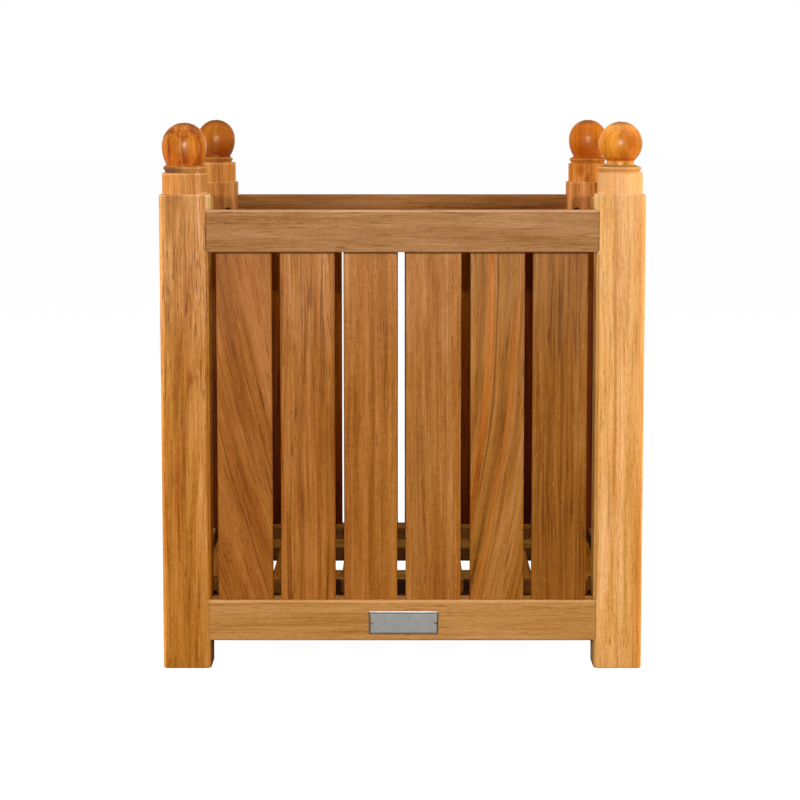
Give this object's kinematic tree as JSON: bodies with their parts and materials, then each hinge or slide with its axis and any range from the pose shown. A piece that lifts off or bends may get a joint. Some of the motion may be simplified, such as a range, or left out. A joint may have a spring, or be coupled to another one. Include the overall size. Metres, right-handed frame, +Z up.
{
  "type": "square planter box",
  "caption": "Square slatted wooden planter box on corner posts with ball finials, housed top and bottom rails, a bare metal plate and a loose slatted floor that lifts out.",
  "frame": {"origin": "centre of the footprint on the ground, under the posts' feet", "axes": "+Z up, -Y out of the front, which carries the metal plate, +X to the right seen from the front"},
  "size_m": [0.508, 0.508, 0.578],
  "materials": {
    "post_teak": "fine sanded, lightly oiled",
    "finial_teak": "turned and polished with oil",
    "rail_teak": "fine sanded, lightly oiled",
    "slat_teak": "fine sanded, lightly oiled",
    "floor_teak": "planed, bare",
    "dowel_beech": "raw turned",
    "plate_steel": "brushed",
    "pin_brass": "satin",
    "screw_steel": "satin"
  },
  "bodies": {
    "frame": {"post_front_left": "post_teak", "post_front_right": "post_teak", "post_back_left": "post_teak", "post_back_right": "post_teak", "finial_front_left": "finial_teak", "finial_front_right": "finial_teak", "finial_back_left": "finial_teak", "finial_back_right": "finial_teak", "rail_top_front": "rail_teak", "rail_top_back": "rail_teak", "rail_top_left": "rail_teak", "rail_top_right": "rail_teak", "rail_bottom_front": "rail_teak", "rail_bottom_back": "rail_teak", "rail_bottom_left": "rail_teak", "rail_bottom_right": "rail_teak", "slat_front_1": "slat_teak", "slat_front_2": "slat_teak", "slat_front_3": "slat_teak", "slat_front_4": "slat_teak", "slat_front_5": "slat_teak", "slat_front_6": "slat_teak", "slat_back_1": "slat_teak", "slat_back_2": "slat_teak", "slat_back_3": "slat_teak", "slat_back_4": "slat_teak", "slat_back_5": "slat_teak", "slat_back_6": "slat_teak", "slat_left_1": "slat_teak", "slat_left_2": "slat_teak", "slat_left_3": "slat_teak", "slat_left_4": "slat_teak", "slat_left_5": "slat_teak", "slat_left_6": "slat_teak", "slat_right_1": "slat_teak", "slat_right_2": "slat_teak", "slat_right_3": "slat_teak", "slat_right_4": "slat_teak", "slat_right_5": "slat_teak", "slat_right_6": "slat_teak", "cleat_front": "floor_teak", "cleat_back": "floor_teak", "name_plate": "plate_steel", "plate_pins": "pin_brass", "finial_dowels": "dowel_beech", "frame_screws": "screw_steel", "cleat_screws": "screw_steel"},
    "floor": {"floor_slat_1": "floor_teak", "floor_slat_2": "floor_teak", "floor_slat_3": "floor_teak", "floor_slat_4": "floor_teak", "floor_slat_5": "floor_teak", "floor_slat_6": "floor_teak", "floor_batten_front": "floor_teak", "floor_batten_back": "floor_teak", "floor_screws": "screw_steel"}
  },
  "joints": [
    {"name": "floor_lift", "type": "slide", "parent": "frame", "child": "floor", "axis": [0, 0, 1], "range_m": [0, 0.55]}
  ]
}
